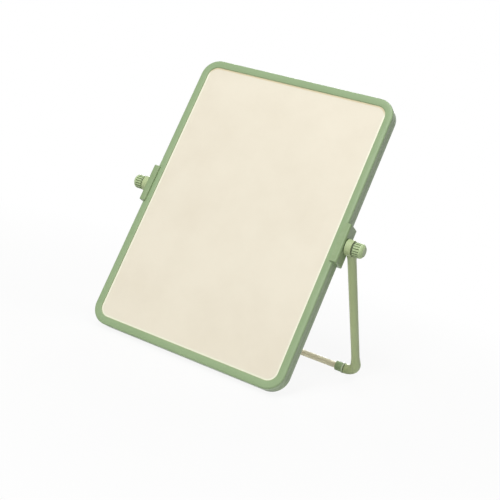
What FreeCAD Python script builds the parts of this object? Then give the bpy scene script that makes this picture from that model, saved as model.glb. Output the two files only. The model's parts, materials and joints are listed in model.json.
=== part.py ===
# Two-sided magnetic whiteboard that tilts between two legs, all sizes in millimetres.
# The object stands on the floor plane, its front faces -Y, its width lies along X and Z is up.
import FreeCAD
import Part
import os
from math import acos, atan2, cos, degrees, pi, radians, sin, sqrt

from FreeCAD import Vector

# Writing panel and frame
OPENING_WIDTH = 210.0
OPENING_HEIGHT = 296.0
OPENING_CORNER_RADIUS = 11.0
BEZEL_WIDTH = 8.0
BEZEL_LIP = 1.5
BEZEL_CREST = 4.2
BEZEL_CROWN = 0.6
PANEL_THICKNESS = 14.5
SHEET_THICKNESS = 0.5
SHEET_CLEARANCE = 0.2
FACE_INSET = 0.5
CORE_OVERLAP = 1.5
CORE_BORDER = 7.0
CORE_RIB = 2.0
CORE_COLUMNS = 8
CORE_ROWS = 11
FRAME_WALL = 2.5
FRAME_EDGE_RADIUS = 1.8
LIP_EDGE_RADIUS = 0.6
SEAM_CHAMFER = 0.3
TONGUE_WIDTH = 1.0
TONGUE_HEIGHT = 1.2
TONGUE_CLEARANCE = 0.1

# Clamps on the long sides of the frame
CLAMP_LENGTH = 41.0
CLAMP_WALL = 4.2
CLAMP_LIP = 1.8
CLAMP_OVERLAP = 3.2
CLAMP_GAP = 0.1
CLAMP_EDGE_RADIUS = 2.0
CLAMP_END_RADIUS = 0.9
BOSS_RADIUS = 4.6
BOSS_REACH = 1.6
BOSS_CLEARANCE = 0.15

# Pivot bolts, threaded inserts and the knobs that tighten them
PIVOT_RISE = 1.5
BOLT_RADIUS = 2.5
RUNNING_FIT = 0.06
SEATING_FIT = 0.03
INSERT_WALL = 0.9
INSERT_RECESS = 0.2
BOLT_TIP_SETBACK = 1.0
BOLT_HEAD_ACROSS_FLATS = 8.0
BOLT_HEAD_HEIGHT = 3.5
BOLT_HEAD_DEPTH = 3.4
FRICTION_RING_RADIUS = 6.5
FRICTION_RING_THICKNESS = 1.2
FRICTION_RING_RECESS = 0.6
WASHER_RADIUS = 6.4
WASHER_THICKNESS = 1.4
KNOB_RADIUS = 7.5
KNOB_GRIP_LENGTH = 6.6
KNOB_DOME_LENGTH = 3.8
KNOB_END_RADIUS = 5.5
KNOB_END_CHAMFER = 0.6
KNOB_CHAMFER = 0.5
FLUTE_COUNT = 18
FLUTE_RADIUS = 0.55
FLUTE_DEPTH = 0.9
CAP_RADIUS = 4.75
CAP_RECESS = 0.2
CAP_EDGE_CHAMFER = 0.3

# Legs and crossbar
LEAN_ANGLE = 20.1
LEG_LENGTH = 189.0
EYE_RADIUS = 8.2
EYE_LENGTH = 6.4
EYE_EDGE_RADIUS = 0.7
NECK_RADIUS = 6.2
NECK_LENGTH = 15.0
BAR_RADIUS = 4.55
ANKLE_RADIUS = 5.6
ANKLE_LENGTH = 12.0
ELBOW_RADIUS = 14.0
KNOB_SHOULDER_GAP = 0.6
SPIGOT_RADIUS = 4.3
SPIGOT_LENGTH = 8.7
SOCKET_DEPTH = 8.0
ARM_LENGTH = 0.6
ARM_CHAMFER = 0.4
FERRULE_RADIUS = 5.4
FERRULE_END_WALL = 1.2
FERRULE_BEAD = 0.5
FERRULE_BEAD_LENGTH = 1.8
FERRULE_EDGE_RADIUS = 0.6
TUBE_RADIUS = 3.5
TUBE_WALL = 0.8
TUBE_END_GAP = 0.2

# Gap between faces that turn against each other
TURNING_GAP = 0.05

# Sizes that follow from the panel and the frame
FRAME_WIDTH = OPENING_WIDTH + 2 * BEZEL_WIDTH
FRAME_HEIGHT = OPENING_HEIGHT + 2 * BEZEL_WIDTH
FRAME_CORNER_RADIUS = OPENING_CORNER_RADIUS + BEZEL_WIDTH
HALF_THICKNESS = PANEL_THICKNESS / 2 + BEZEL_LIP
BOARD_MIDDLE = -PIVOT_RISE

# The bezel is crowned: its section is a shallow arc that is highest along the crest
CROWN_RADIUS = (BEZEL_CREST ** 2 + BEZEL_CROWN ** 2) / (2 * BEZEL_CROWN)
CROWN_CENTRE = HALF_THICKNESS - CROWN_RADIUS


def rounding_height(place, radius):
    """Height of the centre of a rounding that touches the crown, at a place across the bezel."""
    return CROWN_CENTRE + sqrt((CROWN_RADIUS - radius) ** 2 - (place - BEZEL_CREST) ** 2)


# Places along the pivot axis on the right side, from the frame's edge outwards
FRAME_SIDE = FRAME_WIDTH / 2
BOSS_END = FRAME_SIDE - FRAME_WALL - BOSS_REACH
CLAMP_FACE = FRAME_SIDE + CLAMP_GAP + CLAMP_WALL
RING_START = CLAMP_FACE + TURNING_GAP
EYE_START = RING_START + FRICTION_RING_THICKNESS - FRICTION_RING_RECESS
EYE_END = EYE_START + EYE_LENGTH
WASHER_START = EYE_END + TURNING_GAP
KNOB_START = WASHER_START + WASHER_THICKNESS + TURNING_GAP
GRIP_END = KNOB_START + KNOB_GRIP_LENGTH
KNOB_END = GRIP_END + KNOB_DOME_LENGTH
HEAD_START = KNOB_START + BOLT_HEAD_DEPTH
HEAD_END = HEAD_START + BOLT_HEAD_HEIGHT

# Places along the crossbar on the right side, from the leg inwards
BAR_CENTRE = EYE_START + BAR_RADIUS
ELBOW_END = BAR_CENTRE - ELBOW_RADIUS
SPIGOT_START = ELBOW_END - ARM_LENGTH
SPIGOT_END = SPIGOT_START - SPIGOT_LENGTH
FERRULE_START = SPIGOT_START - SEATING_FIT
FERRULE_END = SPIGOT_END - SEATING_FIT - FERRULE_END_WALL
SOCKET_END = SPIGOT_END + SOCKET_DEPTH
TUBE_HALF_LENGTH = SOCKET_END - TUBE_END_GAP

# The rear bottom edge of the frame and both ferrules stand on the floor
FOOT_RADIUS = FERRULE_RADIUS + FERRULE_BEAD
LEAN = radians(LEAN_ANGLE)
EDGE_DROP = FRAME_HEIGHT / 2 + PIVOT_RISE - FRAME_EDGE_RADIUS
EDGE_OFFSET = rounding_height(BEZEL_WIDTH - FRAME_EDGE_RADIUS, FRAME_EDGE_RADIUS)
PIVOT_HEIGHT = EDGE_DROP * cos(LEAN) + EDGE_OFFSET * sin(LEAN) + FRAME_EDGE_RADIUS
LEG_ANGLE = degrees(acos((PIVOT_HEIGHT - FOOT_RADIUS) / LEG_LENGTH))

# The pivot's place along Y puts the middle of the object's depth over the origin
FRONT_REACH = EDGE_DROP * sin(LEAN) + EDGE_OFFSET * cos(LEAN) + FRAME_EDGE_RADIUS
REAR_REACH = LEG_LENGTH * sin(radians(LEG_ANGLE)) + FOOT_RADIUS
PIVOT_PLACE = Vector(0, (FRONT_REACH - REAR_REACH) / 2, PIVOT_HEIGHT)

ORIGIN = Vector(0, 0, 0)
ALONG_X = Vector(1, 0, 0)
ALONG_Y = Vector(0, 1, 0)
ALONG_Z = Vector(0, 0, 1)
TOLERANCE = 1e-4


# Helper shapes

def rounded_plate(width, height, radius, z_low, z_high):
    """Rounded rectangle round the board's middle, extruded from z_low to z_high."""
    half_width = width / 2 - radius
    half_height = height / 2 - radius
    diagonal = radius / sqrt(2)
    corners = ((1, 1), (-1, 1), (-1, -1), (1, -1))
    arcs = []
    for index, (sign_x, sign_y) in enumerate(corners):
        centre = Vector(sign_x * half_width, BOARD_MIDDLE + sign_y * half_height, z_low)
        to_x = Vector(sign_x * radius, 0, 0)
        to_y = Vector(0, sign_y * radius, 0)
        middle = centre + Vector(sign_x * diagonal, sign_y * diagonal, 0)
        first, last = (to_x, to_y) if index % 2 == 0 else (to_y, to_x)
        arcs.append((centre + first, middle, centre + last))
    edges = []
    for index, (start, middle, end) in enumerate(arcs):
        edges.append(Part.Arc(start, middle, end).toShape())
        edges.append(Part.makeLine(end, arcs[(index + 1) % 4][0]))
    face = Part.Face(Part.Wire(edges))
    return face.extrude(Vector(0, 0, z_high - z_low))


def rod(radius, x_start, x_end):
    """Cylinder round the pivot axis."""
    return Part.makeCylinder(radius, x_end - x_start, Vector(x_start, 0, 0), ALONG_X)


def tube(outer_radius, inner_radius, x_start, x_end):
    """Hollow cylinder round the pivot axis."""
    return rod(outer_radius, x_start, x_end).cut(rod(inner_radius, x_start, x_end))


def turned(profile):
    """Solid turned round the pivot axis from (place along X, radius) points."""
    points = [Vector(x, radius, 0) for x, radius in profile]
    face = Part.Face(Part.makePolygon(points + points[:1]))
    return face.revolve(ORIGIN, ALONG_X, 360)


def edges_at(shape, axis, place):
    """Edges that lie whole in the plane where the given axis has the given place."""
    low = {"x": "XMin", "y": "YMin", "z": "ZMin"}[axis]
    high = {"x": "XMax", "y": "YMax", "z": "ZMax"}[axis]
    found = []
    for edge in shape.Edges:
        box = edge.BoundBox
        if abs(getattr(box, low) - place) < TOLERANCE and abs(getattr(box, high) - place) < TOLERANCE:
            found.append(edge)
    return found


# Board pieces, in the board's own frame: Y runs up the board, Z out of its front, pivot at the origin

def boss_hole():
    """Clearance round both clamp bosses, through the frame's long sides."""
    return rod(BOSS_RADIUS + BOSS_CLEARANCE, -FRAME_SIDE, FRAME_SIDE)


def tongue_ring(extra_width, z_high):
    """Ring in the middle of the frame's wall that lines the two halves up."""
    outset = FRAME_WALL / 2 - TONGUE_WIDTH / 2 - extra_width
    inset = FRAME_WALL / 2 + TONGUE_WIDTH / 2 + extra_width
    rings = []
    for step in (outset, inset):
        rings.append(rounded_plate(FRAME_WIDTH - 2 * step, FRAME_HEIGHT - 2 * step,
                                   FRAME_CORNER_RADIUS - step, 0, z_high))
    return rings[0].cut(rings[1])


def rounded_edge(place, radius, wall):
    """Arc from an upright wall to the crown, where wall is -1 for the inner wall and 1 for the outer."""
    height = rounding_height(place, radius)
    centre = Vector(OPENING_CORNER_RADIUS + place, 0, height)
    to_wall = Vector(wall, 0, 0)
    to_crown = Vector(place - BEZEL_CREST, 0, height - CROWN_CENTRE) / (CROWN_RADIUS - radius)
    between = (to_wall + to_crown).normalize()
    return [centre + direction * radius for direction in (to_wall, between, to_crown)]


def frame_section():
    """Section of the frame half, with X outwards from the centre of a corner."""
    def at(place, height):
        return Vector(OPENING_CORNER_RADIUS + place, 0, height)

    outer = rounded_edge(BEZEL_WIDTH - FRAME_EDGE_RADIUS, FRAME_EDGE_RADIUS, 1)
    inner = rounded_edge(LIP_EDGE_RADIUS, LIP_EDGE_RADIUS, -1)
    wall_inside = BEZEL_WIDTH - FRAME_WALL
    corners = [inner[0], at(0, PANEL_THICKNESS / 2), at(wall_inside, PANEL_THICKNESS / 2), at(wall_inside, 0),
               at(BEZEL_WIDTH - SEAM_CHAMFER, 0), at(BEZEL_WIDTH, SEAM_CHAMFER), outer[0]]
    edges = [Part.makeLine(first, last) for first, last in zip(corners, corners[1:])]
    edges.append(Part.Arc(*outer).toShape())
    edges.append(Part.Arc(outer[2], at(BEZEL_CREST, HALF_THICKNESS), inner[2]).toShape())
    edges.append(Part.Arc(*reversed(inner)).toShape())
    return Part.Face(Part.Wire(edges))


def frame_half():
    """Half of the frame in front of the seam: one section run along the sides and round the corners."""
    half_width = OPENING_WIDTH / 2 - OPENING_CORNER_RADIUS
    half_height = OPENING_HEIGHT / 2 - OPENING_CORNER_RADIUS
    signs = ((1, -1), (1, 1), (-1, 1), (-1, -1))
    corners = [Vector(sign_x * half_width, BOARD_MIDDLE + sign_y * half_height, 0) for sign_x, sign_y in signs]
    runs = []
    for index, corner in enumerate(corners):
        section = frame_section()
        section.rotate(ORIGIN, ALONG_Z, 90 * index)
        section.translate(corner)
        runs.append(section.extrude(corners[(index + 1) % 4] - corner))
        runs.append(section.revolve(corner, ALONG_Z, -90))
    return runs[0].fuse(runs[1:]).removeSplitter()


def turned_over(shape):
    """Front piece turned over to make its rear twin."""
    return shape.mirror(ORIGIN, ALONG_Z)


def front_frame():
    groove = tongue_ring(TONGUE_CLEARANCE, TONGUE_HEIGHT + TONGUE_CLEARANCE)
    return frame_half().cut(groove).cut(boss_hole())


def rear_frame():
    tongue = tongue_ring(0, TONGUE_HEIGHT)
    return turned_over(frame_half()).fuse(tongue).cut(boss_hole())


def front_writing_sheet():
    """Steel sheet behind the bezel, with the face inside the opening as a face of its own."""
    step = FRAME_WALL + SHEET_CLEARANCE
    z_low = PANEL_THICKNESS / 2 - SHEET_THICKNESS
    z_high = PANEL_THICKNESS / 2
    whole = rounded_plate(FRAME_WIDTH - 2 * step, FRAME_HEIGHT - 2 * step,
                          FRAME_CORNER_RADIUS - step, z_low, z_high)
    middle = rounded_plate(OPENING_WIDTH - 2 * FACE_INSET, OPENING_HEIGHT - 2 * FACE_INSET,
                           OPENING_CORNER_RADIUS - FACE_INSET, z_low, z_high)
    return whole.cut(middle).fuse(middle)


def core_board():
    """Ribbed board between the sheets, a little larger than the opening, with square-cornered cells."""
    half = PANEL_THICKNESS / 2 - SHEET_THICKNESS
    width = OPENING_WIDTH + 2 * CORE_OVERLAP
    height = OPENING_HEIGHT + 2 * CORE_OVERLAP
    plate = rounded_plate(width, height, OPENING_CORNER_RADIUS + CORE_OVERLAP, -half, half)
    pitch_x = (width - 2 * CORE_BORDER + CORE_RIB) / CORE_COLUMNS
    pitch_y = (height - 2 * CORE_BORDER + CORE_RIB) / CORE_ROWS
    cells = []
    for column in range(CORE_COLUMNS):
        for row in range(CORE_ROWS):
            low_x = CORE_BORDER - width / 2 + column * pitch_x
            low_y = BOARD_MIDDLE + CORE_BORDER - height / 2 + row * pitch_y
            cells.append(Part.makeBox(pitch_x - CORE_RIB, pitch_y - CORE_RIB, 2 * half,
                                      Vector(low_x, low_y, -half)))
    return plate.cut(cells)


def clamp():
    """C-shaped clamp round the frame's side, with the boss that carries the threaded insert."""
    half_depth = HALF_THICKNESS + CLAMP_GAP + CLAMP_LIP
    lip_end = FRAME_SIDE - CLAMP_OVERLAP
    low = Vector(lip_end, -CLAMP_LENGTH / 2, -half_depth)
    block = Part.makeBox(CLAMP_FACE - lip_end, CLAMP_LENGTH, 2 * half_depth, low)
    long_edges = []
    for edge in edges_at(block, "x", CLAMP_FACE):
        if edge.BoundBox.YLength > CLAMP_LENGTH / 2:
            long_edges.append(edge)
    block = block.makeFillet(CLAMP_EDGE_RADIUS, long_edges)
    for end in (-CLAMP_LENGTH / 2, CLAMP_LENGTH / 2):
        block = block.makeFillet(CLAMP_END_RADIUS, edges_at(block, "y", end))
    half_channel = HALF_THICKNESS + CLAMP_GAP
    channel_side = FRAME_SIDE + CLAMP_GAP
    channel = Part.makeBox(channel_side, CLAMP_LENGTH, 2 * half_channel,
                           Vector(0, -CLAMP_LENGTH / 2, -half_channel))
    inner_edges = []
    for edge in edges_at(channel, "x", channel_side):
        if edge.BoundBox.YLength > CLAMP_LENGTH / 2:
            inner_edges.append(edge)
    channel = channel.makeFillet(FRAME_EDGE_RADIUS + CLAMP_GAP, inner_edges)
    body = block.cut(channel).fuse(rod(BOSS_RADIUS, BOSS_END, channel_side))
    insert_hole = BOLT_RADIUS + RUNNING_FIT + INSERT_WALL + SEATING_FIT
    return body.cut(rod(insert_hole, BOSS_END, CLAMP_FACE)).removeSplitter()


def insert():
    """Threaded bush in the clamp's boss."""
    bore = BOLT_RADIUS + RUNNING_FIT
    return tube(bore + INSERT_WALL, bore, BOSS_END, CLAMP_FACE - INSERT_RECESS)


# Knob pieces, round the pivot axis

def bolt_head(across_flats, x_start, x_end):
    """Hexagon prism round the pivot axis."""
    corner_radius = across_flats / 2 / cos(pi / 6)
    points = []
    for index in range(6):
        angle = index * pi / 3
        points.append(Vector(x_start, corner_radius * cos(angle), corner_radius * sin(angle)))
    face = Part.Face(Part.makePolygon(points + points[:1]))
    return face.extrude(Vector(x_end - x_start, 0, 0))


def knob_bolt():
    """Hexagon bolt that is held in the knob and serves as the pivot."""
    shank = rod(BOLT_RADIUS, BOSS_END + BOLT_TIP_SETBACK, HEAD_START)
    return shank.fuse(bolt_head(BOLT_HEAD_ACROSS_FLATS, HEAD_START, HEAD_END))


def knob_outline():
    """Outside of the knob: a straight grip with a chamfered rim, then a dome to a flat end."""
    start_rim = KNOB_RADIUS - KNOB_CHAMFER
    end_rim = KNOB_END_RADIUS - KNOB_END_CHAMFER
    dome_end = Vector(KNOB_END - KNOB_END_CHAMFER, KNOB_END_RADIUS, 0)
    dome_run = dome_end.x - GRIP_END
    dome_drop = KNOB_RADIUS - KNOB_END_RADIUS
    dome_radius = (dome_run ** 2 + dome_drop ** 2) / (2 * dome_drop)
    half_angle = atan2(dome_drop, dome_run)
    bulge = Vector(GRIP_END + dome_radius * sin(half_angle),
                   KNOB_RADIUS - dome_radius * (1 - cos(half_angle)), 0)
    edges = [
        Part.makeLine(Vector(KNOB_START, 0, 0), Vector(KNOB_START, start_rim, 0)),
        Part.makeLine(Vector(KNOB_START, start_rim, 0), Vector(KNOB_START + KNOB_CHAMFER, KNOB_RADIUS, 0)),
        Part.makeLine(Vector(KNOB_START + KNOB_CHAMFER, KNOB_RADIUS, 0), Vector(GRIP_END, KNOB_RADIUS, 0)),
        Part.Arc(Vector(GRIP_END, KNOB_RADIUS, 0), bulge, dome_end).toShape(),
        Part.makeLine(dome_end, Vector(KNOB_END, end_rim, 0)),
        Part.makeLine(Vector(KNOB_END, end_rim, 0), Vector(KNOB_END, 0, 0)),
        Part.makeLine(Vector(KNOB_END, 0, 0), Vector(KNOB_START, 0, 0)),
    ]
    return Part.Face(Part.Wire(edges)).revolve(ORIGIN, ALONG_X, 360)


def knob():
    """Ribbed knob with a bore, a hexagon pocket for the bolt's head and a recess for the cap."""
    body = knob_outline()
    flute_place = KNOB_RADIUS + FLUTE_RADIUS - FLUTE_DEPTH
    for index in range(FLUTE_COUNT):
        angle = 2 * pi * index / FLUTE_COUNT
        base = Vector(KNOB_START, flute_place * cos(angle), flute_place * sin(angle))
        body = body.cut(Part.makeCylinder(FLUTE_RADIUS, KNOB_GRIP_LENGTH, base, ALONG_X))
    body = body.cut(rod(BOLT_RADIUS + SEATING_FIT, KNOB_START, HEAD_START))
    body = body.cut(bolt_head(BOLT_HEAD_ACROSS_FLATS + 2 * SEATING_FIT, HEAD_START, HEAD_END))
    return body.cut(rod(CAP_RADIUS + SEATING_FIT, HEAD_END, KNOB_END))


def knob_cap():
    """Flat cap that closes the knob's end over the bolt's head."""
    cap_end = KNOB_END - CAP_RECESS
    rim = CAP_RADIUS - CAP_EDGE_CHAMFER
    return turned([(HEAD_END, 0), (HEAD_END, CAP_RADIUS), (cap_end - CAP_EDGE_CHAMFER, CAP_RADIUS),
                   (cap_end, rim), (cap_end, 0)])


def knob_washer():
    return tube(WASHER_RADIUS, BOLT_RADIUS + RUNNING_FIT, WASHER_START, WASHER_START + WASHER_THICKNESS)


# Stand pieces, in the leg's own frame: Y runs up the leg, pivot at the origin

def arm_rod(radius, x_start, x_end):
    """Cylinder round the crossbar's axis."""
    return Part.makeCylinder(radius, x_end - x_start, Vector(x_start, -LEG_LENGTH, 0), ALONG_X)


def leg():
    """Leg: an eye at the pivot, a round bar that swells at the ankle, an elbow and a spigot."""
    eye = rod(EYE_RADIUS, EYE_START, EYE_END)
    eye = eye.makeFillet(EYE_EDGE_RADIUS, edges_at(eye, "x", EYE_END))
    bar_top = Vector(BAR_CENTRE, 0, 0)
    bar_drop = LEG_LENGTH - ELBOW_RADIUS
    bar = Part.makeCylinder(BAR_RADIUS, bar_drop, bar_top, -ALONG_Y)
    neck = Part.makeCone(NECK_RADIUS, BAR_RADIUS, NECK_LENGTH, bar_top, -ALONG_Y)
    knob_room = rod(KNOB_RADIUS + KNOB_SHOULDER_GAP, EYE_END, KNOB_END)
    ring_side = Part.makeBox(NECK_RADIUS, 2 * NECK_LENGTH, 2 * NECK_RADIUS,
                             Vector(EYE_START - NECK_RADIUS, -NECK_LENGTH, -NECK_RADIUS))
    upper = bar.fuse(neck).cut(knob_room).cut(ring_side)
    bar_foot = Vector(BAR_CENTRE, -bar_drop, 0)
    ankle = Part.makeCone(ANKLE_RADIUS, BAR_RADIUS, ANKLE_LENGTH, bar_foot, ALONG_Y)
    section = Part.Face(Part.Wire(Part.makeCircle(ANKLE_RADIUS, bar_foot, ALONG_Y)))
    elbow = section.revolve(Vector(ELBOW_END, -bar_drop, 0), -ALONG_Z, 90)
    arm = arm_rod(ANKLE_RADIUS, SPIGOT_START, ELBOW_END)
    arm = arm.makeChamfer(ARM_CHAMFER, edges_at(arm, "x", SPIGOT_START))
    spigot = arm_rod(SPIGOT_RADIUS, SPIGOT_END, SPIGOT_START)
    body = eye.fuse([upper, ankle, elbow, arm, spigot]).removeSplitter()
    body = body.cut(rod(BOLT_RADIUS + RUNNING_FIT, EYE_START, EYE_END))
    ring_seat = rod(FRICTION_RING_RADIUS + SEATING_FIT, EYE_START, EYE_START + FRICTION_RING_RECESS)
    return body.cut(ring_seat).cut(arm_rod(TUBE_RADIUS + SEATING_FIT, SPIGOT_END, SOCKET_END))


def friction_ring():
    bore = BOLT_RADIUS + RUNNING_FIT
    return tube(FRICTION_RING_RADIUS, bore, RING_START, RING_START + FRICTION_RING_THICKNESS)


def ferrule():
    """Collar over the leg's spigot, with a bead at the leg's side and an end wall round the tube."""
    sleeve = arm_rod(FERRULE_RADIUS, FERRULE_END, FERRULE_START)
    sleeve = sleeve.makeFillet(FERRULE_EDGE_RADIUS, edges_at(sleeve, "x", FERRULE_END))
    bead = arm_rod(FOOT_RADIUS, FERRULE_START - FERRULE_BEAD_LENGTH, FERRULE_START)
    bead_edges = edges_at(bead, "x", FERRULE_START)
    bead_edges += edges_at(bead, "x", FERRULE_START - FERRULE_BEAD_LENGTH)
    bead = bead.makeFillet(FERRULE_BEAD, bead_edges)
    body = sleeve.fuse(bead).removeSplitter()
    body = body.cut(arm_rod(SPIGOT_RADIUS + SEATING_FIT, SPIGOT_END - SEATING_FIT, FERRULE_START))
    return body.cut(arm_rod(TUBE_RADIUS + SEATING_FIT, FERRULE_END, FERRULE_START))


def crossbar_tube():
    outside = arm_rod(TUBE_RADIUS, -TUBE_HALF_LENGTH, TUBE_HALF_LENGTH)
    return outside.cut(arm_rod(TUBE_RADIUS - TUBE_WALL, -TUBE_HALF_LENGTH, TUBE_HALF_LENGTH))


# Placing and writing

def placed(shape, turn):
    """Shape turned round the pivot axis and moved to the pivot's place."""
    moved = shape.copy()
    moved.rotate(ORIGIN, ALONG_X, turn)
    moved.translate(PIVOT_PLACE)
    return moved


def write(name, shape, turn):
    placed(shape, turn).exportStep(f"parts/{name}.step")


BOARD_TURN = 90 - LEAN_ANGLE
STAND_TURN = 90 + LEG_ANGLE

os.makedirs("parts", exist_ok=True)

write("front_frame", front_frame(), BOARD_TURN)
write("rear_frame", rear_frame(), BOARD_TURN)
write("front_writing_sheet", front_writing_sheet(), BOARD_TURN)
write("rear_writing_sheet", turned_over(front_writing_sheet()), BOARD_TURN)
write("core_board", core_board(), BOARD_TURN)
write("crossbar_tube", crossbar_tube(), STAND_TURN)

PAIRS = (
    ("clamp", clamp(), BOARD_TURN),
    ("insert", insert(), BOARD_TURN),
    ("knob", knob(), BOARD_TURN),
    ("knob_bolt", knob_bolt(), BOARD_TURN),
    ("knob_cap", knob_cap(), BOARD_TURN),
    ("knob_washer", knob_washer(), BOARD_TURN),
    ("leg", leg(), STAND_TURN),
    ("ferrule", ferrule(), STAND_TURN),
    ("friction_ring", friction_ring(), STAND_TURN),
)
for name, right_shape, turn in PAIRS:
    write(f"right_{name}", right_shape, turn)
    write(f"left_{name}", right_shape.mirror(ORIGIN, ALONG_X), turn)

print(f"pivot {PIVOT_PLACE.y:.3f} {PIVOT_PLACE.z:.3f}, leg angle {LEG_ANGLE:.3f}")
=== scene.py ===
# Dressing of the magnetic whiteboard: camera, light, floor and a finish for every piece, in metres.
import bpy
import json
from math import radians
from mathutils import Matrix, Vector


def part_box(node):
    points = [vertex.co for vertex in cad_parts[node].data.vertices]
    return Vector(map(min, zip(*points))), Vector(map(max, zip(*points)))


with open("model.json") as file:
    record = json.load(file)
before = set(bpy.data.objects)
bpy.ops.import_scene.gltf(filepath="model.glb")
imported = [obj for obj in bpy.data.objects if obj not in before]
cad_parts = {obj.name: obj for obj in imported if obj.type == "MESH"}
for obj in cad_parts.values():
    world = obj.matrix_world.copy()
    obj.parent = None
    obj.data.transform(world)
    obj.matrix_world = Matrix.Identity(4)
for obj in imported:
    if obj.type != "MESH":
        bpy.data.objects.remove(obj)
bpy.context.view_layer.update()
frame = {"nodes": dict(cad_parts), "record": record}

# Camera, as the photograph was taken, with angles in degrees and the lens and sensor in millimetres
CAMERA_PLACE = (0.42622, -0.87852, 0.24839)
CAMERA_AZIMUTH = 25.810
CAMERA_ELEVATION = 7.951
CAMERA_ROLL = 14.681
CAMERA_LENS = 66.84
CAMERA_SENSOR = 36.0

# Lamps: where each stands, its width and its power in watts
LAMPS = {
    "main_lamp": ((0.05, -1.20, 2.00), 0.9, 21.4),
    "top_lamp": ((0.20, 0.20, 1.75), 0.5, 6.0),
    "front_lamp": ((0.12, -2.60, 1.72), 0.45, 30.5),
    "rear_lamp": ((-0.90, 1.80, 0.70), 1.2, 20.0),
}
LAMP_TARGET = (0.0, -0.03, 0.14)

# Light from all round, and the white backdrop behind the object
WORLD_COLOUR = (1.0, 0.99, 0.965, 1.0)
WORLD_STRENGTH = 0.10
BACKDROP_COLOUR = (1.0, 1.0, 1.0, 1.0)
BACKDROP_STRENGTH = 1.0

# Floor: a pale disc that fades into the backdrop between two distances from the object
FLOOR_RADIUS = 30.0
FLOOR_SIDES = 96
FLOOR_COLOUR = (0.78, 0.78, 0.77)
FLOOR_COLOUR_PALER = (0.81, 0.81, 0.80)
FLOOR_ROUGHNESS = 0.9
FLOOR_FADE_START = 0.24
FLOOR_FADE_END = 0.75
FLOOR_GLOW_NEAR = 0.90

# Colours as linear light, with a darker and a lighter shade where a moulding is cloudy
FRAME_SAGE = ((0.292, 0.403, 0.219), (0.317, 0.429, 0.239))
CLAMP_SAGE = ((0.260, 0.362, 0.182), (0.282, 0.386, 0.198))
# Legs and knobs are lighter than the frame: painted light for the light that reaches them less
LEG_SAGE_PAINTED_LIGHTER = ((0.452, 0.544, 0.284), (0.486, 0.578, 0.308))
KNOB_SAGE_PAINTED_LIGHTER = ((0.458, 0.580, 0.308), (0.492, 0.615, 0.334))
FERRULE_SAGE = ((0.360, 0.505, 0.272), (0.400, 0.545, 0.304))
# A lighter sage for worn specks, and for edges that are partly wear and partly painted highlight
SAGE_WORN_AND_HIGHLIGHT = (0.470, 0.570, 0.370)
# A pale sage for the painted highlight on the ferrules' beads
SAGE_PAINTED_HIGHLIGHT = (0.660, 0.760, 0.560)
# The darkest sage is dirt in the joint beside the ferrules' beads and painted shade in the grooves
SAGE_GRIME_AND_SHADE = (0.150, 0.205, 0.095)
CREAM = (0.840, 0.780, 0.645)
CREAM_WORN = (0.795, 0.730, 0.595)
CREAM_PAINTED_HIGHLIGHT = (0.930, 0.930, 0.760)
CREAM_PAINTED_SHADOW = (0.700, 0.600, 0.380)
CREAM_DUST = (0.560, 0.530, 0.340)
TUBE_PLATING = ((0.76, 0.73, 0.54), (0.86, 0.83, 0.63))
BRASS = ((0.62, 0.44, 0.18), (0.78, 0.58, 0.26))
ZINC = ((0.42, 0.43, 0.43), (0.62, 0.62, 0.60))
NYLON = ((0.07, 0.09, 0.05), (0.16, 0.20, 0.12))
RUBBER = ((0.04, 0.045, 0.035), (0.11, 0.12, 0.10))
CARD = ((0.50, 0.40, 0.27), (0.62, 0.52, 0.38))
CARD_MOTTLE = (0.40, 0.31, 0.20)

# Sheen of the plastic, and how deep the grooves reach that get painted shade
PLASTIC_SHEEN = 0.30
PLASTIC_ROUGHNESS = (0.28, 0.40)
LEG_ROUGHNESS = (0.30, 0.42)
GROOVE_SHADE_DEPTH = 0.0015

# How high the fine relief of each finish stands
GRAIN_HEIGHT = 0.000014
ORANGE_PEEL_HEIGHT = 0.000010
BRUSHING_HEIGHT = 0.000004
DARK_GRAIN_HEIGHT = 0.000030
FIBRE_HEIGHT = 0.000060

# Thread of the bolts, with waves about one pitch of 0.8 mm apart
THREAD_SCALE = 390.0
THREAD_HEIGHT = 0.00018

# Edge rounding of the small metal, nylon and rubber pieces, and the rays that look for edges and grooves
SMALL_EDGE = 0.00015
EDGE_RAYS = 4
GROOVE_RAYS = 6

# The bead at the ferrules' outer ends, which gets a painted highlight, and the soiled joint beside it,
# measured from the middle
BEAD_WIDTH = 0.0019
JOINT_WIDTH = 0.0014
BAND_BLUR = 0.0003
FERRULE_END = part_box("right_ferrule")[1].x
BEAD_PAINTED_HIGHLIGHT = (FERRULE_END - BEAD_WIDTH, FERRULE_END)
JOINT = (FERRULE_END - BAND_BLUR, FERRULE_END - BAND_BLUR + JOINT_WIDTH)

# The writing face: its upward direction and middle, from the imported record, and its rim
FACE = next(mount for mount in frame["record"]["mounts"] if mount["name"] == "front_writing_face")
FACE_UP = Vector((0.0, FACE["axis"][2], -FACE["axis"][1]))
FACE_MIDDLE = FACE_UP.dot(Vector(FACE["pos_m"]))
RIM_WIDTH = 0.210
RIM_HEIGHT = 0.296
RIM_CORNER = 0.011

# Dust lies in the joint at the rim, and the margin next to it gets a painted highlight, with a painted
# shadow along the top instead
DUST_WIDTH = 0.0005
MARGIN_WIDTH = 0.0024
MARGIN_STRENGTH = 0.9
TOP_SHADOW_WIDTH = 0.010
TOP_SHADOW_BLUR = 0.006
TOP_SHADOW_START = RIM_HEIGHT / 2 - TOP_SHADOW_WIDTH
TOP_SHADOW_END = TOP_SHADOW_START + TOP_SHADOW_BLUR


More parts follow.
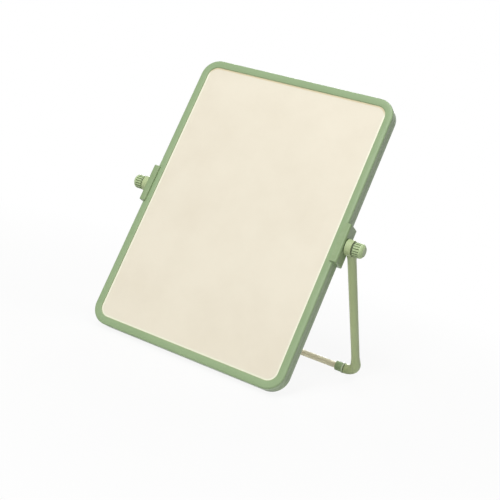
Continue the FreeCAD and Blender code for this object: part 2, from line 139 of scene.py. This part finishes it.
class Finish:
    """One node material, with short calls for the nodes that the finishes share."""

    def __init__(self, name):
        self.material = bpy.data.materials.new(name)
        self.material.use_nodes = True
        self.tree = self.material.node_tree
        self.shader = self.tree.nodes["Principled BSDF"]
        self.place = self.tree.nodes.new("ShaderNodeTexCoord").outputs["Object"]

    def put(self, target, value):
        """A socket is linked and a plain value is set."""
        if isinstance(value, bpy.types.NodeSocket):
            self.tree.links.new(value, target)
        elif isinstance(value, tuple) and len(value) == 3 and target.type == "RGBA":
            target.default_value = (*value, 1.0)
        else:
            target.default_value = value

    def surface(self, **values):
        """Inputs of the surface shader, named with underlines for spaces."""
        for name, value in values.items():
            self.put(self.shader.inputs[name.replace("_", " ")], value)

    def stretched(self, scale):
        """Object coordinates, scaled differently along X, Y and Z."""
        node = self.tree.nodes.new("ShaderNodeMapping")
        self.put(node.inputs["Vector"], self.place)
        node.inputs["Scale"].default_value = scale
        return node.outputs["Vector"]

    def noise(self, scale, detail, roughness=0.55, stretch=None):
        """Cloudy values from zero to one, mostly near a half."""
        node = self.tree.nodes.new("ShaderNodeTexNoise")
        self.put(node.inputs["Vector"], self.stretched(stretch) if stretch else self.place)
        node.inputs["Scale"].default_value = scale
        node.inputs["Detail"].default_value = detail
        node.inputs["Roughness"].default_value = roughness
        return node.outputs["Fac"]

    def ranged(self, value, low, high, start=0.3, end=0.7):
        """Value between start and end, brought to low and high."""
        node = self.tree.nodes.new("ShaderNodeMapRange")
        self.put(node.inputs["Value"], value)
        node.inputs["From Min"].default_value = start
        node.inputs["From Max"].default_value = end
        node.inputs["To Min"].default_value = low
        node.inputs["To Max"].default_value = high
        return node.outputs["Result"]

    def mixed(self, factor, first, second):
        """First colour where the factor is zero, second colour where it is one."""
        node = self.tree.nodes.new("ShaderNodeMix")
        node.data_type = "RGBA"
        self.put(node.inputs["Factor"], factor)
        self.put(node.inputs["A"], first)
        self.put(node.inputs["B"], second)
        return node.outputs["Result"]

    def worked_out(self, kind, first, second=0.0):
        """One step of arithmetic, which needs the second value only where it takes two."""
        node = self.tree.nodes.new("ShaderNodeMath")
        node.operation = kind
        self.put(node.inputs[0], first)
        self.put(node.inputs[1], second)
        return node.outputs["Value"]

    def edges(self, low, high):
        """Zero on flat faces, one on outer edges."""
        node = self.tree.nodes.new("ShaderNodeNewGeometry")
        return self.ranged(node.outputs["Pointiness"], 0.0, 1.0, start=low, end=high)

    def crevices(self, distance):
        """Zero on open faces, one deep in the piece's own grooves."""
        node = self.tree.nodes.new("ShaderNodeAmbientOcclusion")
        node.samples = GROOVE_RAYS
        node.only_local = True
        node.inputs["Distance"].default_value = distance
        return self.ranged(node.outputs["AO"], 1.0, 0.0, start=0.35, end=0.85)

    def along_axes(self):
        """Object coordinates as three values."""
        node = self.tree.nodes.new("ShaderNodeSeparateXYZ")
        self.put(node.inputs["Vector"], self.place)
        return node.outputs

    def band_across(self, low, high):
        """One between two distances from the object's middle plane, on both sides of it."""
        distance = self.worked_out("ABSOLUTE", self.along_axes()["X"])
        from_low = self.ranged(distance, 0.0, 1.0, start=low, end=low + BAND_BLUR)
        to_high = self.ranged(distance, 1.0, 0.0, start=high - BAND_BLUR, end=high)
        return self.worked_out("MULTIPLY", from_low, to_high)

    def beyond(self, value, limit):
        """How far a value lies from zero, past a limit."""
        return self.worked_out("SUBTRACT", self.worked_out("ABSOLUTE", value), limit)

    def up_the_face(self):
        """Distance up the writing face from its middle."""
        parts = self.along_axes()
        depth_part = self.worked_out("MULTIPLY", parts["Y"], FACE_UP.y)
        height_part = self.worked_out("MULTIPLY", parts["Z"], FACE_UP.z)
        return self.worked_out("SUBTRACT", self.worked_out("ADD", depth_part, height_part), FACE_MIDDLE)

    def from_rim(self):
        """Distance along the writing face from its rim, inwards."""
        across = self.beyond(self.along_axes()["X"], RIM_WIDTH / 2 - RIM_CORNER)
        along = self.beyond(self.up_the_face(), RIM_HEIGHT / 2 - RIM_CORNER)
        outside = [self.worked_out("MAXIMUM", part, 0.0) for part in (across, along)]
        squares = [self.worked_out("POWER", part, 2.0) for part in outside]
        corner = self.worked_out("SQRT", self.worked_out("ADD", *squares))
        straight = self.worked_out("MINIMUM", self.worked_out("MAXIMUM", across, along), 0.0)
        return self.worked_out("SUBTRACT", RIM_CORNER, self.worked_out("ADD", corner, straight))

    def margin(self, rim, width):
        """High next to the rim, and zero from the given distance on."""
        return self.ranged(rim, MARGIN_STRENGTH, 0.0, start=width / 2, end=width)

    def rounded(self, radius):
        """Normals that round the edges off a little."""
        node = self.tree.nodes.new("ShaderNodeBevel")
        node.samples = EDGE_RAYS
        node.inputs["Radius"].default_value = radius
        return node.outputs["Normal"]

    def bump(self, height, distance, normal=None):
        """Normals of a surface that stands up by the distance where the height is one."""
        node = self.tree.nodes.new("ShaderNodeBump")
        node.inputs["Strength"].default_value = 1.0
        node.inputs["Distance"].default_value = distance
        self.put(node.inputs["Height"], height)
        if normal is not None:
            self.put(node.inputs["Normal"], normal)
        return node.outputs["Normal"]


# Finishes

def sage_plastic(name, colours, flow, grain, edge_radius, roughness=PLASTIC_ROUGHNESS, groove_shade=0.7, bands=()):
    """Satin moulded plastic: faint flow marks, fine grain, painted shade in grooves, and lighter edges that
    are partly wear and partly painted highlight.
    """
    finish = Finish(name)
    clouds = finish.noise(scale=22.0, detail=4.0, stretch=flow)
    colour = finish.mixed(finish.ranged(clouds, 0.0, 1.0), *colours)
    specks = finish.noise(scale=1900.0, detail=2.0)
    colour = finish.mixed(finish.ranged(specks, 0.0, 0.10, start=0.52, end=0.75), colour, SAGE_WORN_AND_HIGHLIGHT)
    # Lighter edges: partly wear, partly painted highlight
    scuffs = finish.ranged(finish.noise(scale=160.0, detail=5.0), 0.0, 0.5)
    wear_and_highlight = finish.worked_out("MULTIPLY", finish.edges(0.52, 0.62), scuffs)
    colour = finish.mixed(wear_and_highlight, colour, SAGE_WORN_AND_HIGHLIGHT)
    for band, tint in bands:
        colour = finish.mixed(finish.band_across(*band), colour, tint)
    # Painted shade darkens the piece's own grooves
    groove_shade_mask = finish.worked_out("MULTIPLY", finish.crevices(GROOVE_SHADE_DEPTH), groove_shade)
    colour = finish.mixed(groove_shade_mask, colour, SAGE_GRIME_AND_SHADE)
    rough = finish.ranged(finish.noise(scale=90.0, detail=5.0, stretch=flow), *roughness)
    ripples = finish.ranged(finish.noise(scale=260.0, detail=2.0, stretch=flow), 0.0, 0.6)
    height = finish.worked_out("ADD", finish.noise(scale=grain, detail=2.0), ripples)
    normal = finish.bump(height, GRAIN_HEIGHT, finish.rounded(edge_radius))
    finish.surface(Base_Color=colour, Roughness=rough, Normal=normal, Specular_IOR_Level=PLASTIC_SHEEN)
    return finish.material


def cream_enamel():
    """Cream coat on sheet steel: orange peel, wiped smudges, dust along the bezel, and a painted highlight
    beside it with a painted shadow under the top of the bezel.
    """
    finish = Finish("cream_enamel")
    smudges = finish.noise(scale=14.0, detail=5.0, roughness=0.6)
    colour = finish.mixed(finish.ranged(smudges, 0.0, 0.9, start=0.40, end=0.72), CREAM, CREAM_WORN)
    rim = finish.from_rim()
    # Painted highlight in the margin by the rim, and painted shadow in that margin along the top
    top = finish.ranged(finish.up_the_face(), 0.0, 1.0, start=TOP_SHADOW_START, end=TOP_SHADOW_END)
    margin_highlight_and_shadow = finish.mixed(top, CREAM_PAINTED_HIGHLIGHT, CREAM_PAINTED_SHADOW)
    colour = finish.mixed(finish.margin(rim, MARGIN_WIDTH), colour, margin_highlight_and_shadow)
    colour = finish.mixed(finish.margin(rim, DUST_WIDTH), colour, CREAM_DUST)
    streaks = finish.noise(scale=30.0, detail=6.0, roughness=0.6, stretch=(0.35, 4.0, 4.0))
    rough = finish.ranged(streaks, 0.40, 0.52)
    orange_peel = finish.noise(scale=520.0, detail=1.0)
    normal = finish.bump(orange_peel, ORANGE_PEEL_HEIGHT)
    finish.surface(Base_Color=colour, Roughness=rough, Normal=normal, IOR=1.4)
    return finish.material


def brushed_metal(name, colours, lines_along, roughness, bare=1.0):
    """Metal with fine lines along the given direction and dulled patches, bare or under a thin coat."""
    finish = Finish(name)
    lines = finish.noise(scale=2400.0, detail=3.0, stretch=lines_along)
    patches = finish.noise(scale=70.0, detail=4.0)
    colour = finish.mixed(finish.ranged(patches, 0.0, 1.0), *colours)
    rough = finish.worked_out("ADD", finish.ranged(lines, *roughness), finish.ranged(patches, 0.0, 0.08))
    normal = finish.bump(lines, BRUSHING_HEIGHT, finish.rounded(SMALL_EDGE))
    finish.surface(Base_Color=colour, Metallic=bare, Roughness=rough, Normal=normal)
    return finish.material


def threaded_steel():
    """Zinc-plated steel with thread ridges along the bolt's axis."""
    finish = Finish("threaded_steel")
    wave = finish.tree.nodes.new("ShaderNodeTexWave")
    wave.bands_direction = "X"
    finish.put(wave.inputs["Vector"], finish.place)
    wave.inputs["Scale"].default_value = THREAD_SCALE
    wave.inputs["Distortion"].default_value = 0.0
    patches = finish.noise(scale=400.0, detail=3.0)
    colour = finish.mixed(finish.ranged(patches, 0.0, 1.0), *ZINC)
    rough = finish.ranged(patches, 0.24, 0.42)
    normal = finish.bump(wave.outputs["Fac"], THREAD_HEIGHT, finish.rounded(SMALL_EDGE))
    finish.surface(Base_Color=colour, Metallic=1.0, Roughness=rough, Normal=normal)
    return finish.material


def dark_moulding(name, colours, roughness, grain):
    """Dark nylon or rubber with a matte grain and paler scuffs."""
    finish = Finish(name)
    scuffs = finish.noise(scale=300.0, detail=5.0, roughness=0.65)
    colour = finish.mixed(finish.ranged(scuffs, 0.0, 1.0, start=0.45, end=0.75), *colours)
    rough = finish.ranged(scuffs, *roughness)
    relief = finish.noise(scale=grain, detail=3.0)
    normal = finish.bump(relief, DARK_GRAIN_HEIGHT, finish.rounded(SMALL_EDGE))
    finish.surface(Base_Color=colour, Roughness=rough, Normal=normal)
    return finish.material


def pressed_card():
    """Pressed card with mottled fibres."""
    finish = Finish("pressed_card")
    fibres = finish.noise(scale=700.0, detail=6.0, roughness=0.7, stretch=(1.0, 0.25, 1.0))
    colour = finish.mixed(finish.ranged(fibres, 0.0, 0.7), *CARD)
    mottle = finish.noise(scale=90.0, detail=4.0)
    colour = finish.mixed(finish.ranged(mottle, 0.0, 0.35), colour, CARD_MOTTLE)
    rough = finish.ranged(fibres, 0.78, 0.95)
    normal = finish.bump(fibres, FIBRE_HEIGHT)
    finish.surface(Base_Color=colour, Roughness=rough, Normal=normal)
    return finish.material


def dress(names, material):
    """The material becomes the only one of each named piece."""
    for name in names:
        slots = frame["nodes"][name].data.materials
        slots.clear()
        slots.append(material)


def both(name):
    return [f"left_{name}", f"right_{name}"]


def dress_mouldings():
    dress(["front_frame", "rear_frame"],
          sage_plastic("frame_plastic", FRAME_SAGE, flow=(0.5, 1.0, 1.0), grain=2600.0, edge_radius=0.0003))
    dress(both("clamp"),
          sage_plastic("clamp_plastic", CLAMP_SAGE, flow=(1.0, 1.0, 0.6), grain=2300.0, edge_radius=0.0004))
    dress(both("leg"),
          sage_plastic("leg_plastic", LEG_SAGE_PAINTED_LIGHTER, flow=(1.0, 0.4, 0.4), grain=2000.0, edge_radius=0.0003,
                       roughness=LEG_ROUGHNESS, bands=[(JOINT, SAGE_GRIME_AND_SHADE)]))
    # The ferrules' beads get a painted highlight
    dress(both("ferrule"),
          sage_plastic("ferrule_plastic", FERRULE_SAGE, flow=(0.5, 1.0, 1.0), grain=2200.0,
                       edge_radius=0.0003, bands=[(BEAD_PAINTED_HIGHLIGHT, SAGE_PAINTED_HIGHLIGHT)]))
    dress(both("knob") + both("knob_cap"),
          sage_plastic("knob_plastic", KNOB_SAGE_PAINTED_LIGHTER, flow=(0.6, 1.0, 1.0), grain=3000.0, edge_radius=0.0002,
                       groove_shade=0.78))
    dress(both("knob_washer"), dark_moulding("dark_nylon", NYLON, roughness=(0.45, 0.62), grain=1500.0))
    dress(both("friction_ring"), dark_moulding("ring_rubber", RUBBER, roughness=(0.70, 0.88), grain=2200.0))


def dress_metal_and_card():
    dress(["front_writing_sheet", "rear_writing_sheet"], cream_enamel())
    dress(["crossbar_tube"],
          brushed_metal("satin_tube", TUBE_PLATING, lines_along=(0.02, 1.0, 1.0),
                        roughness=(0.40, 0.52), bare=0.25))
    dress(both("insert"),
          brushed_metal("turned_brass", BRASS, lines_along=(1.0, 0.1, 0.1), roughness=(0.25, 0.38)))
    dress(both("knob_bolt"), threaded_steel())
    dress(["core_board"], pressed_card())


# Floor, backdrop, lamps and camera

def seen_directly(tree):
    """One for what the camera sees, straight or in a mirror or glass, and zero for light on the object."""
    path = tree.nodes.new("ShaderNodeLightPath")
    total = path.outputs["Is Camera Ray"]
    for name in ("Is Glossy Ray", "Is Transmission Ray"):
        node = tree.nodes.new("ShaderNodeMath")
        node.operation = "MAXIMUM"
        tree.links.new(total, node.inputs[0])
        tree.links.new(path.outputs[name], node.inputs[1])
        total = node.outputs["Value"]
    return total


def floor_material():
    """Pale matte floor, whose own glow takes over from its shading away from the object."""
    finish = Finish("pale_floor")
    tree = finish.tree
    mottle = finish.noise(scale=6.0, detail=3.0)
    colour = finish.mixed(mottle, FLOOR_COLOUR, FLOOR_COLOUR_PALER)
    finish.surface(Base_Color=colour, Roughness=FLOOR_ROUGHNESS, Specular_IOR_Level=0.0)
    reach = tree.nodes.new("ShaderNodeVectorMath")
    reach.operation = "LENGTH"
    tree.links.new(finish.place, reach.inputs[0])
    share = finish.ranged(reach.outputs["Value"], FLOOR_GLOW_NEAR, 1.0,
                          start=FLOOR_FADE_START, end=FLOOR_FADE_END)
    glow = tree.nodes.new("ShaderNodeEmission")
    glow.inputs["Strength"].default_value = BACKDROP_STRENGTH
    mix = tree.nodes.new("ShaderNodeMixShader")
    tree.links.new(finish.worked_out("MULTIPLY", share, seen_directly(tree)), mix.inputs["Fac"])
    tree.links.new(finish.shader.outputs["BSDF"], mix.inputs[1])
    tree.links.new(glow.outputs["Emission"], mix.inputs[2])
    tree.links.new(mix.outputs["Shader"], tree.nodes["Material Output"].inputs["Surface"])
    return finish.material


def add_floor():
    mesh = bpy.data.meshes.new("floor")
    rim = [Matrix.Rotation(radians(360 * side / FLOOR_SIDES), 4, "Z") @ Vector((FLOOR_RADIUS, 0, 0))
           for side in range(FLOOR_SIDES)]
    mesh.from_pydata(rim, [], [tuple(range(FLOOR_SIDES))])
    mesh.materials.append(floor_material())
    floor = bpy.data.objects.new("floor", mesh)
    bpy.context.scene.collection.objects.link(floor)


def add_world():
    world = bpy.data.worlds.new("studio")
    bpy.context.scene.world = world
    world.use_nodes = True
    tree = world.node_tree
    light = tree.nodes["Background"]
    light.inputs["Color"].default_value = WORLD_COLOUR
    light.inputs["Strength"].default_value = WORLD_STRENGTH
    backdrop = tree.nodes.new("ShaderNodeBackground")
    backdrop.inputs["Color"].default_value = BACKDROP_COLOUR
    backdrop.inputs["Strength"].default_value = BACKDROP_STRENGTH
    mix = tree.nodes.new("ShaderNodeMixShader")
    tree.links.new(seen_directly(tree), mix.inputs["Fac"])
    tree.links.new(light.outputs["Background"], mix.inputs[1])
    tree.links.new(backdrop.outputs["Background"], mix.inputs[2])
    tree.links.new(mix.outputs["Shader"], tree.nodes["World Output"].inputs["Surface"])


def add_lamps():
    for name, (place, width, power) in LAMPS.items():
        data = bpy.data.lights.new(name, "AREA")
        data.shape = "DISK"
        data.size = width
        data.energy = power
        lamp = bpy.data.objects.new(name, data)
        lamp.location = place
        lamp.rotation_euler = (Vector(LAMP_TARGET) - Vector(place)).to_track_quat("-Z", "Y").to_euler()
        bpy.context.scene.collection.objects.link(lamp)


def add_camera():
    data = bpy.data.cameras.new("camera")
    data.lens = CAMERA_LENS
    data.sensor_width = CAMERA_SENSOR
    camera = bpy.data.objects.new("camera", data)
    turn = Matrix.Rotation(radians(CAMERA_AZIMUTH), 4, "Z")
    tilt = Matrix.Rotation(radians(90 - CAMERA_ELEVATION), 4, "X")
    roll = Matrix.Rotation(radians(CAMERA_ROLL), 4, "Z")
    camera.matrix_world = Matrix.Translation(CAMERA_PLACE) @ turn @ tilt @ roll
    bpy.context.scene.collection.objects.link(camera)
    bpy.context.scene.camera = camera


dress_mouldings()
dress_metal_and_card()
add_floor()
add_world()
add_lamps()
add_camera()
bpy.context.scene.view_settings.view_transform = "Standard"
